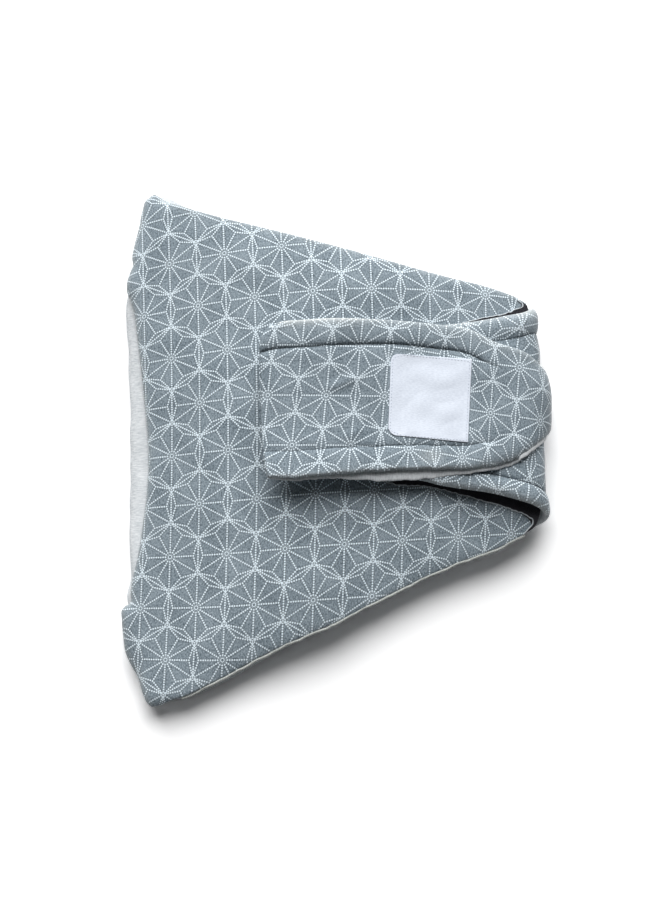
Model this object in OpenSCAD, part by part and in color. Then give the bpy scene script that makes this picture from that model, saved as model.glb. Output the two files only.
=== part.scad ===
// Folded padded wrap band with a wing and an outer tab that close it. Sizes in mm.
// X runs from the fold to the narrow end, Y along the fold, Z up from the resting face.

/* [Band halves] */
// Length of the front half, from the fold's shoulders to its narrow end
half_length = 241; // [200:1:300]
// Height of both halves at the fold
wide_height = 307; // [260:1:360]
// Height of the front half at its narrow end
narrow_height = 141; // [130:1:180]
// How far the middle of the narrow end lies above the middle of the fold
narrow_rise = 19; // [0:1:25]
// Thickness of each padded half
half_thickness = 14; // [10:0.5:18]
// Set-back of the wide corners from the fold's shoulders
corner_inset = 17; // [8:1:24]
// Height over which the wide corners are set back
corner_drop = 54; // [40:1:70]
// Depth of the bay that shows the lining at the fold
bay_depth = 12; // [9:0.5:16]
// Radius of the tips at the wide corners
tip_radius = 5; // [3:0.5:9]
// Radius of the corners at the narrow end
end_radius = 7; // [4:0.5:12]
// How much shorter the back half is than the front half
back_shortfall = 22; // [19:0.5:26]

/* [Cloth] */
// Thickness of the printed cover cloth
cover_thickness = 0.8; // [0.6:0.1:1.2]
// Thickness of the lining cloth
lining_thickness = 0.8; // [0.6:0.1:1.2]
// Thickness of the wadding in the wing and the tab
wadding_thickness = 3; // [2:0.25:4.5]
// Thickness of the lining roll at the fold
fold_roll_thickness = 2; // [1.5:0.25:3]
// Share of a half's width that its soft edge takes up
edge_roll = 0.12; // [0.08:0.01:0.16]

/* [Wing] */
// Width of the wing where it turns round the narrow end
wing_width = 126; // [110:1:138]
// Taper of each long edge of the wing, in degrees
wing_taper = 11; // [6:1:14]
// Length of the wing from its turn to its free end
wing_length = 88; // [70:1:110]
// Height of the wing's middle line above the middle of the fold
wing_rise = 24; // [18:1:27]
// Radius at the corners of the wing's free end
wing_radius = 20; // [8:1:30]

/* [Tab] */
// Width of the tab over its straight part
tab_width = 92; // [80:1:100]
// Length of the tab from its turn to its free end
tab_length = 152; // [140:1:170]
// Width of the tab where it turns round the wing
tab_neck_width = 58; // [48:1:70]
// Length over which the tab narrows to its neck
tab_neck_length = 38; // [30:1:50]
// Radius where the tab bends in to its neck
tab_neck_radius = 14; // [8:1:20]
// Height of the tab's middle line above the middle of the fold
tab_rise = 32; // [26:1:34]
// Radius of the tab's upper free corner
tab_upper_radius = 16; // [8:1:24]
// Radius of the tab's lower free corner
tab_lower_radius = 5; // [3:1:12]
// Angle above the turn's axis at which the tab is sewn to the wing, in degrees
tab_root_angle = 25; // [20:1:40]
// Length over which the tab comes down from the wing to the front half
tab_ramp = 30; // [24:1:40]
// Distance of the topstitching from the long edges
rim_width = 15; // [11:0.5:18]

/* [Fasteners] */
// Thickness of the loop panel
loop_thickness = 1.4; // [1:0.1:2]
// Thickness of the hook patches
hook_thickness = 1.4; // [1:0.1:2]
// Length of the loop panel along the band
loop_length = 62; // [50:1:70]
// How far the loop panel reaches past each long edge of the wing
loop_margin = 4; // [2:0.5:6]
// Width of the stitched edging round the loop panel
edging_width = 1.6; // [1:0.1:2.4]
// Distance of the hook patches from the edges they are sewn beside
hook_margin = 8; // [5:0.5:12]

/* [Label] */
// Width of the sewn label
label_width = 48; // [40:1:54]
// Height of the sewn label
label_height = 50; // [42:1:54]
// Turn of the label on the tab, in degrees
label_turn = -4.5; // [-8:0.5:8]
// Distance of the label's middle from the tab's turn
label_setback = 52; // [46:1:58]
// Thickness of the label
label_thickness = 0.5; // [0.3:0.1:0.8]
// Radius of the label's two rounded corners
label_radius = 5; // [2:0.5:8]
// Radius of the label's two sharp corners
label_sharp_radius = 0.6; // [0.4:0.1:1]
// Distance of the label's stitching from its border
label_stitch_inset = 1.2; // [0.8:0.1:2]

/* [Stitching] */
// Height of the sewing thread as it stands out
thread = 0.5; // [0.3:0.1:0.8]
// Width of a row of stitches
stitch_width = 0.8; // [0.5:0.1:1.2]

/* [Clearances] */
// Gap between the two halves
halves_gap = 0.6; // [0.4:0.1:1.2]
// Gap between pieces that move past each other
clear = 0.3; // [0.3:0.05:0.5]

/* [Hidden] */

$fn = 96;
print_colour = [0.50, 0.57, 0.61];
lining_colour = [0.80, 0.82, 0.83];
foam_colour = [0.93, 0.91, 0.84];
tape_colour = [0.13, 0.12, 0.14];
label_colour = [0.95, 0.96, 0.98];
thread_colour = [0.86, 0.88, 0.90];

// Heights of the stack
back_middle = half_thickness / 2;
front_base = half_thickness + halves_gap;
front_middle = front_base + half_thickness / 2;
front_top = front_base + half_thickness;
tapes = loop_thickness + hook_thickness + clear;
wing_base = front_top + tapes;
strap_thickness = cover_thickness + wadding_thickness + lining_thickness;

// The turn round the narrow end: one axis, with the root, the wing and the tab round it
end_overhang = half_thickness * 0.51;
turn_x = half_length - end_overhang;
turn_z = (wing_base + back_middle - strap_thickness / 2 - clear) / 2;
root_radius = turn_z - back_middle - strap_thickness / 2;
wing_inner = root_radius + strap_thickness + clear;
tab_inner = wing_inner + strap_thickness + clear;
tab_outer = tab_inner + strap_thickness;
back_length = half_length - back_shortfall;
shoulder = wide_height / 2 - corner_drop;

// Depth of the fold's edge at height y: the bay between the shoulders, the corners beyond them
function fold_edge(y) = abs(y) <= shoulder
    ? bay_depth * pow(cos(90 * y / shoulder), 2)
    : corner_inset * pow((abs(y) - shoulder) / corner_drop, 2);

// Upper and lower edge of a half at distance x from the fold
function upper_edge(x) = wide_height / 2
    + (narrow_rise + narrow_height / 2 - wide_height / 2) * (x - corner_inset) / (half_length - corner_inset);
function lower_edge(x) = -wide_height / 2
    + (narrow_rise - narrow_height / 2 + wide_height / 2) * (x - corner_inset) / (half_length - corner_inset);

function unit(v) = v / norm(v);

// Points of an arc that rounds the corner b of the path a, b, c
function corner(a, b, c, r, steps = 4) =
    let (u = unit(a - b), v = unit(c - b))
    let (half = acos(u * v) / 2)
    let (middle = b + unit(u + v) * r / sin(half))
    let (from = b + u * r / tan(half) - middle, to = b + v * r / tan(half) - middle)
    let (start = atan2(from[1], from[0]), raw = atan2(to[1], to[0]) - start)
    let (sweep = raw > 180 ? raw - 360 : raw < -180 ? raw + 360 : raw)
    [for (i = [0:steps]) middle + r * [cos(start + sweep * i / steps), sin(start + sweep * i / steps)]];

function rounded(path, radii) = [for (i = [0:len(path) - 1])
    each corner(path[(i + len(path) - 1) % len(path)], path[i], path[(i + 1) % len(path)], radii[i])];

// Outline of a half, counter-clockwise, from the upper wide corner round by the fold
fold_steps = 12;
function fold_side() = [for (i = [-fold_steps:fold_steps])
    let (y = -i / fold_steps * (wide_height / 2 - tip_radius * 2.4)) [fold_edge(y), y]];
function outline(reach) =
    let (upper_tip = [corner_inset, wide_height / 2], lower_tip = [corner_inset, -wide_height / 2])
    let (lower_end = [reach, lower_edge(reach)], upper_end = [reach, upper_edge(reach)])
    let (side = fold_side())
    concat(
        side,
        corner(side[len(side) - 1], lower_tip, lower_end, tip_radius),
        corner(lower_tip, lower_end, upper_end, end_radius),
        corner(lower_end, upper_end, upper_tip, end_radius),
        corner(upper_end, upper_tip, side[0], tip_radius));

front_outline = outline(half_length);
back_outline = outline(back_length);
shift_x = -(turn_x + max(tab_outer * cos(tab_root_angle), wing_inner + strap_thickness)) / 2;
shift_y = -(max([for (p = front_outline) p[1]]) + min([for (p = front_outline) p[1]])) / 2;

module placed() {
    translate([shift_x, shift_y, 0])
        children();
}

// Closed skin through rings of points, with a flat cap round a middle point at both ends
module loft(rings, middle) {
    n = len(rings[0]);
    last = len(rings) - 1;
    first_cap = len(rings) * n;
    last_cap = first_cap + 1;
    polyhedron(
        points = concat(
            [for (ring = rings) each ring],
            [[middle[0], middle[1], rings[0][0][2]], [middle[0], middle[1], rings[last][0][2]]]),
        faces = concat(
            [for (i = [0:n - 1]) [first_cap, i, (i + 1) % n]],
            [for (k = [0:last - 1]) for (i = [0:n - 1]) each [
                [(k + 1) * n + i, (k + 1) * n + (i + 1) % n, k * n + i],
                [(k + 1) * n + (i + 1) % n, k * n + (i + 1) % n, k * n + i]]],
            [for (i = [0:n - 1]) [last_cap, last * n + (i + 1) % n, last * n + i]]));
}

// One ring of a padded half: the outline drawn in towards its middle, at a share of the height
soft_steps = 4;
middle_along = 0.48;
middle_up = 0.3;
skin_span = narrow_height * 0.8;
function middle_of(reach) = [reach * middle_along, narrow_rise * middle_up];
function ring(path, reach, angle, skin, z, way) =
    let (c = middle_of(reach), inner = 1 - skin / skin_span)
    let (s = (1 - edge_roll * (1 - cos(angle))) * inner)
    [for (p = path) [c[0] + (p[0] - c[0]) * s, c[1] + (p[1] - c[1]) * s,
        z + way * (half_thickness / 2 - skin) * sin(angle)]];

// One cloth face of a half, from its edge seam at mid height to its flat (way is 1 up, -1 down)
module half_skin(path, reach, z, skin, way) {
    inside = [for (k = [soft_steps:-1:0]) ring(path, reach, 90 * k / soft_steps, skin, z, way)];
    outside = [for (k = [0:soft_steps]) ring(path, reach, 90 * k / soft_steps, 0, z, way)];
    all = concat(inside, outside);
    loft(way > 0 ? all : reverse_list(all), middle_of(reach));
}

module half_padding(path, reach, z, over, under) {
    below = [for (k = [soft_steps:-1:0]) ring(path, reach, 90 * k / soft_steps, under, z, -1)];
    above = [for (k = [0:soft_steps]) ring(path, reach, 90 * k / soft_steps, over, z, 1)];
    loft(concat(below, over == under ? [for (k = [1:soft_steps]) above[k]] : above), middle_of(reach));
}

// Quarter roll of lining in the fold's bay (way is 1 for the upper roll, -1 for the lower)
roll_radius = (half_thickness + halves_gap) / 2;
roll_outer = roll_radius + fold_roll_thickness / 2;
roll_step = 1;
roll_x = bay_depth - clear - roll_step;
roll_reach = shoulder * 0.62;
module fold_roll(way) {
    roll_z = half_thickness + halves_gap / 2;
    intersection() {
        translate([roll_x, 0, roll_z])
            rotate([90, 0, 0])
                linear_extrude(height = wide_height, center = true)
                    intersection() {
                        difference() {
                            circle(r = roll_outer);
                            circle(r = roll_outer - fold_roll_thickness);
                        }
                        translate([-roll_outer, way > 0 ? halves_gap / 2 : -roll_outer - halves_gap / 2])
                            square([roll_outer, roll_outer]);
                    }
        linear_extrude(height = front_top * 2)
            polygon(concat(
                [[-roll_outer, -roll_reach], [fold_edge(roll_reach) - clear, -roll_reach]],
                [for (p = reverse_list(fold_side())) if (abs(p[1]) < roll_reach) [p[0] - clear, p[1]]],
                [[fold_edge(roll_reach) - clear, roll_reach], [-roll_outer, roll_reach]]));
    }
}
function reverse_list(list) = [for (i = [len(list) - 1:-1:0]) list[i]];

// Band round the turn from angle start to the top, then straight along the front
module turned(inner, outer, start, reach) {
    far = outer * 3;
    translate([turn_x, 0, turn_z])
        rotate([90, 0, 0])
            linear_extrude(height = wide_height * 2, center = true) {
                intersection() {
                    difference() {
                        circle(r = outer);
                        circle(r = inner);
                    }
                    polygon([[0, 0], far * [cos(start), sin(start)], [far, far], [0, far]]);
                }
                translate([-reach, inner])
                    square([reach, outer - inner]);
            }
}

// The same band for the tab, which comes down from the wing to the front half
ramp_gap = 4;
ramp_start = turn_x - wing_length - ramp_gap;
tab_end = turn_x - tab_length;
tab_low = front_top + clear + hook_thickness;
tab_drop = wing_base + strap_thickness + clear - tab_low;
module tab_band(inner, outer) {
    flat = turn_x - ramp_start;
    far = outer * 3;
    translate([turn_x, 0, turn_z])
        rotate([90, 0, 0])
            linear_extrude(height = wide_height * 2, center = true) {
                intersection() {
                    difference() {
                        circle(r = outer);
                        circle(r = inner);
                    }
                    polygon([[0, 0], far * [cos(tab_root_angle), sin(tab_root_angle)], [far, far], [0, far]]);
                }
                polygon([
                    [0, inner], [0, outer],
                    [-flat, outer],
                    [-flat - tab_ramp, outer - tab_drop],
                    [-tab_length, outer - tab_drop],
                    [-tab_length, inner - tab_drop],
                    [-flat - tab_ramp, inner - tab_drop],
                    [-flat, inner]]);
            }
}

// Plans of the wing and the tab
wing_slope = tan(wing_taper);
wing_tip = turn_x - wing_length;
wing_far = turn_x + wing_inner + strap_thickness * 1.2;
wing_root_angle = -8;
function wing_half(x) = wing_width / 2 - wing_slope * (turn_x + wing_inner - x);
wing_plan = rounded(
    [[wing_tip, wing_rise + wing_half(wing_tip)], [wing_tip, wing_rise - wing_half(wing_tip)],
        [wing_far, wing_rise - wing_half(wing_far)], [wing_far, wing_rise + wing_half(wing_far)]],
    [wing_radius, wing_radius, strap_thickness, strap_thickness]);

tab_far = turn_x + tab_outer * 1.05;
tab_plan = rounded(
    [[tab_end, tab_rise + tab_width / 2], [tab_end, tab_rise - tab_width / 2],
        [turn_x - tab_neck_length, tab_rise - tab_width / 2], [turn_x, tab_rise - tab_neck_width / 2],
        [tab_far, tab_rise - tab_neck_width / 2], [tab_far, tab_rise + tab_neck_width / 2],
        [turn_x, tab_rise + tab_neck_width / 2], [turn_x - tab_neck_length, tab_rise + tab_width / 2]],
    [tab_upper_radius, tab_lower_radius, tab_neck_radius, tab_neck_radius,
        strap_thickness, strap_thickness, tab_neck_radius, tab_neck_radius]);

module upright(path) {
    linear_extrude(height = front_top * 2)
        polygon(path);
}

module wing_layer(low, high) {
    placed() intersection() {
        turned(wing_inner + low, wing_inner + high, wing_root_angle, wing_length);
        upright(wing_plan);
    }
}

module tab_layer(low, high) {
    placed() intersection() {
        tab_band(tab_inner + low, tab_inner + high);
        upright(tab_plan);
    }
}

// Plan of the loop panel: the wing's own taper and a margin, on the flat of the front half
flat_end = middle_of(half_length)[0] + (half_length - middle_of(half_length)[0]) * (1 - edge_roll);
loop_end = flat_end - loop_thickness;
loop_start = loop_end - loop_length;
function loop_plan(extra) =
    let (x0 = loop_start - extra, x1 = loop_end)
    let (a = wing_half(loop_start) + loop_margin + extra, b = wing_half(loop_end) + loop_margin + extra)
    rounded(
        [[x0, wing_rise + a], [x0, wing_rise - a], [x1, wing_rise - b], [x1, wing_rise + b]],
        [wing_radius, wing_radius, loop_thickness, loop_thickness]);

// Plan of the hook patch under the wing and of the one under the tab's free end
hook_plan = rounded(
    let (a = wing_half(wing_tip) - hook_margin, x0 = wing_tip + hook_margin, x1 = loop_end - hook_margin)
    [[x0, wing_rise + a], [x0, wing_rise - a], [x1, wing_rise - a], [x1, wing_rise + a]],
    [wing_radius / 2, wing_radius / 2, tip_radius, tip_radius]);
tab_hook_plan = rounded(
    let (x0 = tab_end + hook_margin, x1 = ramp_start - tab_ramp, a = tab_width / 2 - tab_upper_radius)
    [[x0, tab_rise + a], [x0, tab_rise - a], [x1, tab_rise - a], [x1, tab_rise + a]],
    [tip_radius, tip_radius, tip_radius, tip_radius]);

function label_plan(inset) =
    let (w = label_width / 2 - inset, h = label_height / 2 - inset)
    rounded([[-w, h], [-w, -h], [w, -h], [w, h]],
        [label_radius, label_radius, label_sharp_radius, label_sharp_radius]);
module on_label(z, height) {
    placed()
        translate([turn_x - label_setback, tab_rise, z])
            rotate([0, 0, label_turn])
                linear_extrude(height = height)
                    children();
}

module front_cover() {
    color(print_colour) placed()
        half_skin(front_outline, half_length, front_middle, cover_thickness, 1);
}
module front_padding() {
    color(foam_colour) placed()
        half_padding(front_outline, half_length, front_middle, cover_thickness, lining_thickness);
}
module front_lining() {
    color(lining_colour) placed()
        half_skin(front_outline, half_length, front_middle, lining_thickness, -1);
}
module front_fold_lining() {
    color(lining_colour) placed()
        fold_roll(1);
}
module loop_panel() {
    color(tape_colour) placed()
        translate([0, 0, front_top])
            linear_extrude(height = loop_thickness)
                polygon(loop_plan(0));
}
module loop_edging() {
    color(thread_colour) placed()
        translate([0, 0, front_top])
            linear_extrude(height = loop_thickness * 0.8)
                difference() {
                    polygon(loop_plan(edging_width));
                    polygon(loop_plan(0));
                    translate([loop_end - edging_width, -wide_height])
                        square([loop_length, wide_height * 2]);
                }
}
module back_cover() {
    color(print_colour) placed()
        half_skin(back_outline, back_length, back_middle, cover_thickness, -1);
}
module back_padding() {
    color(foam_colour) placed()
        half_padding(back_outline, back_length, back_middle, lining_thickness, cover_thickness);
}
module back_lining() {
    color(lining_colour) placed()
        half_skin(back_outline, back_length, back_middle, lining_thickness, 1);
}
module back_fold_lining() {
    color(lining_colour) placed()
        fold_roll(-1);
}
// Sewn root of the wing: out of the back half's end and up a quarter turn
module wing_root() {
    lip = turn_x - back_length;
    color(print_colour) placed() intersection() {
        translate([turn_x, 0, turn_z])
            rotate([90, 0, 0])
                linear_extrude(height = wide_height * 2, center = true) {
                    intersection() {
                        difference() {
                            circle(r = root_radius + strap_thickness);
                            circle(r = root_radius);
                        }
                        translate([0, -half_length])
                            square([half_length, half_length - clear]);
                    }
                    translate([-lip, -root_radius - strap_thickness])
                        square([lip, strap_thickness]);
                }
        upright(wing_plan);
    }
}
module wing_cover() {
    color(print_colour)
        wing_layer(lining_thickness + wadding_thickness, strap_thickness);
}
module wing_wadding() {
    color(foam_colour)
        wing_layer(lining_thickness, lining_thickness + wadding_thickness);
}
module wing_lining() {
    color(lining_colour)
        wing_layer(0, lining_thickness);
}
module wing_hook_patch() {
    color(tape_colour) placed()
        translate([0, 0, wing_base - hook_thickness])
            linear_extrude(height = hook_thickness)
                polygon(hook_plan);
}
// Row of topstitching beside one long edge of the wing (way is 1 for the upper edge, -1 for the lower)
module wing_stitch(way) {
    near = turn_x + wing_inner / 3;
    side = stitch_width / 2;
    y0 = wing_rise + way * (wing_half(near) - rim_width);
    y1 = wing_rise + way * (wing_half(wing_far) - rim_width);
    color(thread_colour) placed() intersection() {
        turned(wing_inner + strap_thickness, wing_inner + strap_thickness + thread, 0, thread);
        upright([[near, y0 - side], [wing_far, y1 - side], [wing_far, y1 + side], [near, y0 + side]]);
    }
}
module wing_stitch_upper() {
    wing_stitch(1);
}
module wing_stitch_lower() {
    wing_stitch(-1);
}
module tab_cover() {
    color(print_colour)
        tab_layer(lining_thickness + wadding_thickness, strap_thickness);
}
module tab_wadding() {
    color(foam_colour)
        tab_layer(lining_thickness, lining_thickness + wadding_thickness);
}
module tab_lining() {
    color(lining_colour)
        tab_layer(0, lining_thickness);
}
module tab_hook_patch() {
    color(tape_colour) placed()
        translate([0, 0, tab_low - hook_thickness])
            linear_extrude(height = hook_thickness)
                polygon(tab_hook_plan);
}
// Row of topstitching beside one long edge of the tab
module tab_stitch(way) {
    y = tab_rise + way * (tab_width / 2 - rim_width);
    side = stitch_width / 2;
    color(thread_colour) placed() intersection() {
        tab_band(tab_inner + strap_thickness, tab_inner + strap_thickness + thread);
        upright([[tab_end, y - side], [turn_x - tab_neck_length, y - side],
            [turn_x - tab_neck_length, y + side], [tab_end, y + side]]);
    }
}
module tab_stitch_upper() {
    tab_stitch(1);
}
module tab_stitch_lower() {
    tab_stitch(-1);
}
module label() {
    color(label_colour)
        on_label(turn_z + tab_outer, label_thickness)
            polygon(label_plan(0));
}
module label_stitching() {
    color(thread_colour)
        on_label(turn_z + tab_outer + label_thickness, thread * 0.6)
            difference() {
                polygon(label_plan(label_stitch_inset));
                polygon(label_plan(label_stitch_inset + thread));
            }
}

front_cover();
front_padding();
front_lining();
front_fold_lining();
loop_panel();
loop_edging();
back_cover();
back_padding();
back_lining();
back_fold_lining();
wing_root();
wing_cover();
wing_wadding();
wing_lining();
wing_hook_patch();
wing_stitch_upper();
wing_stitch_lower();
tab_cover();
tab_wadding();
tab_lining();
tab_hook_patch();
tab_stitch_upper();
tab_stitch_lower();
label();
label_stitching();
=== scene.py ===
"""Folded padded wrap band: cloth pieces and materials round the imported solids.

Lengths are in mm until a mesh is made. A place is a point of the picture, in its pixels.
"""
import math

import bpy
import numpy as np
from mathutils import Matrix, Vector
from mathutils.bvhtree import BVHTree


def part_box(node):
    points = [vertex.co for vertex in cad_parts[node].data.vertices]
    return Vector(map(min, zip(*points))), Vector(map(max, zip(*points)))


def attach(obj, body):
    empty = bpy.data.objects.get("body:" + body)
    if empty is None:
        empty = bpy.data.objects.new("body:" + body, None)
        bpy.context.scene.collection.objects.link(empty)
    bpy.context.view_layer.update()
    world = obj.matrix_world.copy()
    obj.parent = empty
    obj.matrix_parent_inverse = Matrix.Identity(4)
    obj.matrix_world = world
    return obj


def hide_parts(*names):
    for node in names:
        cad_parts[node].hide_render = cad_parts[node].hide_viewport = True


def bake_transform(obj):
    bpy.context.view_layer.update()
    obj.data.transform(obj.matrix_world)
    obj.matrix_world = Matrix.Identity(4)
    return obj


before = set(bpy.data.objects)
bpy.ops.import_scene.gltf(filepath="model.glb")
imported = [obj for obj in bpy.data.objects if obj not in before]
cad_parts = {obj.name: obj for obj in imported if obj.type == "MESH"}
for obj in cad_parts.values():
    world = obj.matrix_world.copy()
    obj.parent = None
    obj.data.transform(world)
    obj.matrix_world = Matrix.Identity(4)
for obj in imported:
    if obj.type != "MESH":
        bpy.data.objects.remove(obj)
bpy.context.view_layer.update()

MM = 0.001

# Camera: a long lens looking down, a little from the band's lower long edge
PHOTO_WIDTH = 660
PHOTO_HEIGHT = 904
FIELD = 0.36
EYE_DISTANCE = 1507.0
EYE_TILT = math.radians(80)
TARGET = np.array([-3.4, 0.0, 20.0])
FORWARD = np.array([0.0, math.cos(EYE_TILT), -math.sin(EYE_TILT)])
UPWARD = np.array([0.0, math.sin(EYE_TILT), math.cos(EYE_TILT)])
EYE = TARGET - FORWARD * EYE_DISTANCE

# Padded halves: heights of their middles, half their thickness, and the rounding of their edges
BACK_MIDDLE = 7.0
FRONT_MIDDLE = 21.6
HALF_THICK = 6.5
EDGE_ROLL = 12.0
LIP = 0.88
LIP_ROLL = 6.0
FOLD_LIP = 0.35
FOLD_ROLL = 9.0
FOLD_EDGE = (0, 18)
CROWN = 0.5
CROWN_REACH = 30
FLOOR_GAP = 0.3

# Sag of the front half: along its long edges, under the straps, and at the lower tip of its fold
DROOP = 4.0
DROOP_REACH = 36.0
DROOP_X = (10, 58)
END_SINK = 3.6
SINK_X = (-20, 45)
SINK_Y = (74, 104)
TIP_DROOP = 11.0
TIP_X = (5, 110)
TIP_Y = (10, 225)
BACK_TIP = 0.5

# Turn of the straps round the narrow end, which lies a little aslant
TURN_X = 106.44
TURN_Y = 25.0
TURN_Z = 18.05
TURN_TILT = 0.054
ROOT_RADIUS = 11.05
WING_RADIUS = 15.95
TAB_RADIUS = 20.85

# Print: side of the hexagons, its dots, and the lay of the star lattice on the front half
STAR_SIDE = 20.0
ROW = 1.5 * STAR_SIDE
DOT_PITCH = 0.0725
STAR_RING = 0.052
RING_FINE = 0.0135
RAY_START = 0.088
KNOT_REACH = 0.2
KNOT_FINE = 0.0045
LAY_HEIGHT = 28.5
LAY_MIDDLE = (337.5, 451.3)
LAY_SCALE = 0.006
LAY_LEFT = (120, 240)
LAY_LOW = (350, 410)
LAY_SAG = 1.8

EDGE_STEPS = 400
NEAR_STEPS = 360
BATCH = 4000
WAVES = 9
QUARTER = np.radians(np.linspace(0, 90, 9))

rng = np.random.default_rng(20)


def spot(places, z):
    """Plan points at height z that are seen at these places of the picture."""
    places = np.asarray(places, float)
    z = np.broadcast_to(np.asarray(z, float), places.shape[:1])
    right = (places[:, 0] - PHOTO_WIDTH / 2) / PHOTO_HEIGHT * FIELD
    up = (PHOTO_HEIGHT / 2 - places[:, 1]) / PHOTO_HEIGHT * FIELD
    ray = FORWARD + right[:, None] * np.array([1.0, 0.0, 0.0]) + up[:, None] * UPWARD
    reach = (z - EYE[2]) / ray[:, 2]
    return (EYE + ray * reach[:, None])[:, :2]


def seen_at(points):
    """Places of the picture where these points are seen."""
    away = points - EYE
    depth = away @ FORWARD
    right = away[..., 0] / depth
    up = away @ UPWARD / depth
    return np.stack([PHOTO_WIDTH / 2 + right * PHOTO_HEIGHT / FIELD,
                     PHOTO_HEIGHT / 2 - up * PHOTO_HEIGHT / FIELD], axis=-1)


def run(line):
    """Length along a line at each of its points."""
    return np.r_[0, np.cumsum(np.linalg.norm(np.diff(line, axis=0), axis=1))]


def between(want, along, line):
    """Points of a line at the wanted lengths along it."""
    return np.stack([np.interp(want, along, line[:, k]) for k in range(line.shape[1])], axis=-1)


def even_steps(line, count=EDGE_STEPS):
    along = run(line)
    return between(np.linspace(0, along[-1], count), along, line)


def on_line(line, share):
    """Points at shares 0 to 1 of a line of even steps."""
    return between(share, np.linspace(0, 1, len(line)), line)


def smooth_line(points):
    """Even steps along a smooth line through a few points."""
    p = np.asarray(points, float)
    chord = run(p)
    slope = np.gradient(p, chord, axis=0)
    at = np.linspace(0, chord[-1], EDGE_STEPS * 4)
    i = np.clip(np.searchsorted(chord, at, side="right") - 1, 0, len(p) - 2)
    span = (chord[i + 1] - chord[i])[:, None]
    t = ((at - chord[i])[:, None]) / span
    return even_steps((2 * t**3 - 3 * t**2 + 1) * p[i] + (t**3 - 2 * t**2 + t) * span * slope[i]
                      + (3 * t**2 - 2 * t**3) * p[i + 1] + (t**3 - t**2) * span * slope[i + 1])


def patch(lower, upper, left, right, u, v):
    """Surface between four edges that meet at their ends, at the shares u and v."""
    a, b = u[..., None], v[..., None]
    sides = (1 - b) * on_line(lower, u) + b * on_line(upper, u)
    ends = (1 - a) * on_line(left, v) + a * on_line(right, v)
    corners = ((1 - a) * (1 - b) * lower[0] + a * (1 - b) * lower[-1]
               + (1 - a) * b * upper[0] + a * b * upper[-1])
    return sides + ends - corners


def nearest(points, line):
    """Distance from each point to a line, and the nearest place on it."""
    flat = points.reshape(-1, 2)
    line = even_steps(line, min(len(line), NEAR_STEPS))
    start, step = line[:-1], np.diff(line, axis=0)
    length2 = np.maximum((step**2).sum(axis=1), 1e-12)
    far = np.empty(len(flat))
    foot = np.empty_like(flat)
    for part in np.array_split(np.arange(len(flat)), max(1, len(flat) // BATCH)):
        off = flat[part, None, :] - start[None]
        t = np.clip((off * step[None]).sum(axis=2) / length2[None], 0, 1)
        place = start[None] + t[..., None] * step[None]
        gap = np.linalg.norm(flat[part, None, :] - place, axis=2)
        best = gap.argmin(axis=1)
        rows = np.arange(len(part))
        far[part] = gap[rows, best]
        foot[part] = place[rows, best]
    return far.reshape(points.shape[:-1]), foot.reshape(points.shape)


def ripple(x, y, wave, draws=rng):
    """Gentle unevenness of about unit height whose humps are about one wave long."""
    total = np.zeros_like(x)
    for _ in range(WAVES):
        angle, phase = draws.uniform(0, 2 * math.pi, 2)
        pitch = 2 * math.pi / (wave * draws.uniform(0.7, 1.5))
        total += np.sin(pitch * (x * math.cos(angle) + y * math.sin(angle)) + phase)
    return total / math.sqrt(WAVES)


def line_ripple(along, wave):
    return ripple(along, 0 * along, wave)


def round_edge(distance, roll):
    """Share of the full height at a distance from the edge of something padded."""
    t = np.clip(distance / roll, 0, 1)
    return np.sqrt(np.maximum(1 - (1 - t)**2, 0))


def ease(value, low, high):
    t = np.clip((value - low) / (high - low), 0, 1)
    return t * t * (3 - 2 * t)


def shares(count, crowd):
    """Shares from 0 to 1 that crowd towards both ends."""
    t = np.linspace(0, 1, count)
    return (1 - crowd) * t + crowd * (1 - np.cos(math.pi * t)) / 2


def share_grid(columns, rows, crowd):
    return np.meshgrid(shares(columns, crowd), shares(rows, crowd), indexing="ij")


def lift(plan, z):
    return np.concatenate([plan, z[..., None]], axis=-1)


def grid_faces(rows, columns, first=0):
    index = first + np.arange(rows * columns).reshape(rows, columns)
    return np.stack([index[:-1, :-1], index[1:, :-1], index[1:, 1:], index[:-1, 1:]], axis=-1).reshape(-1, 4)


def border(rows, columns):
    """Indices round a grid, in order."""
    index = np.arange(rows * columns).reshape(rows, columns)
    return np.r_[index[:-1, 0], index[-1, :-1], index[1:, -1][::-1], index[0, 1:][::-1]]


def placed_object(name, data):
    made = bpy.data.objects.new(name, data)
    bpy.context.scene.collection.objects.link(made)
    return made


def new_piece(name, points, faces, uv, slots, materials, marks=None):
    """Mesh object in metres with a UV layer in metres."""
    mesh = bpy.data.meshes.new(name)
    mesh.from_pydata((np.asarray(points) * MM).tolist(), [], [[int(i) for i in face] for face in faces])
    layer = mesh.uv_layers.new(name="cloth")
    layer.data.foreach_set("uv", (np.asarray(uv, float) * MM).astype(np.float32).ravel())
    mesh.polygons.foreach_set("use_smooth", np.ones(len(mesh.polygons), bool))
    mesh.polygons.foreach_set("material_index", np.asarray(slots, np.int32))
    for material in materials:
        mesh.materials.append(material)
    for mark, values in (marks or {}).items():
        mesh.attributes.new(mark, "FLOAT", "POINT").data.foreach_set("value", values.astype(np.float32))
    mesh.update()
    return placed_object(name, mesh)


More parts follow.
